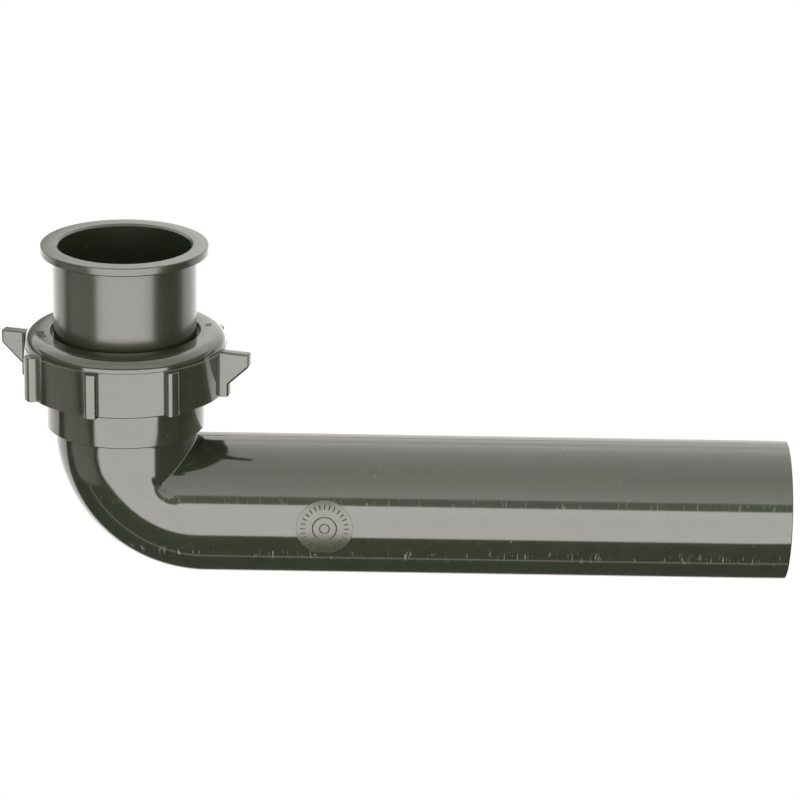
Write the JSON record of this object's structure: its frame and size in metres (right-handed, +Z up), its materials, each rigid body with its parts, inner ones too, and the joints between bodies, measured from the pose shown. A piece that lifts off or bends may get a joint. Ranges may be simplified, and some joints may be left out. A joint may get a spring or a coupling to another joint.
{
  "type": "p trap outlet elbow",
  "caption": "Long-arm drain trap elbow with a winged slip-joint nut, a tapered washer and a flanged tailpiece that slides and turns in it.",
  "frame": {"origin": "centre of the open end of the outlet arm", "axes": "+X out of the outlet along the arm, +Z up along the inlet, +Y to the back"},
  "size_m": [0.2128, 0.057, 0.0919],
  "materials": {
    "abs_elbow": "glossy black injection-moulded ABS",
    "abs_nut": "glossy black injection-moulded ABS",
    "abs_tailpiece": "glossy black injection-moulded ABS",
    "nylon_ring": "natural nylon, satin",
    "soft_washer": "soft translucent-white polyethylene, satin"
  },
  "bodies": {
    "elbow": {"arm": "abs_elbow", "bend": "abs_elbow", "hub": "abs_elbow"},
    "ring": {"friction_ring": "nylon_ring"},
    "nut": {"slip_nut": "abs_nut"},
    "washer": {"seal_washer": "soft_washer"},
    "tailpiece": {"tailpiece": "abs_tailpiece"}
  },
  "joints": [
    {"name": "nut_rise", "type": "slide", "parent": "elbow", "child": "ring", "axis": [0, 0, 1], "range_m": [0, 0.00774]},
    {"name": "nut_turn", "type": "hinge", "parent": "ring", "child": "nut", "pos_m": [-0.179, 0, 0.0463], "axis": [0, 0, 1], "range_deg": [0, 1260]},
    {"name": "tailpiece_turn", "type": "hinge", "parent": "elbow", "child": "washer", "pos_m": [-0.179, 0, 0.0418], "axis": [0, 0, 1], "continuous": true},
    {"name": "tailpiece_height", "type": "slide", "parent": "washer", "child": "tailpiece", "axis": [0, 0, 1], "range_m": [-0.005, 0.007]}
  ],
  "couplings": [
    {"joint": "nut_rise", "follows": "nut_turn", "m_per_rad": 0.00035157}
  ]
}
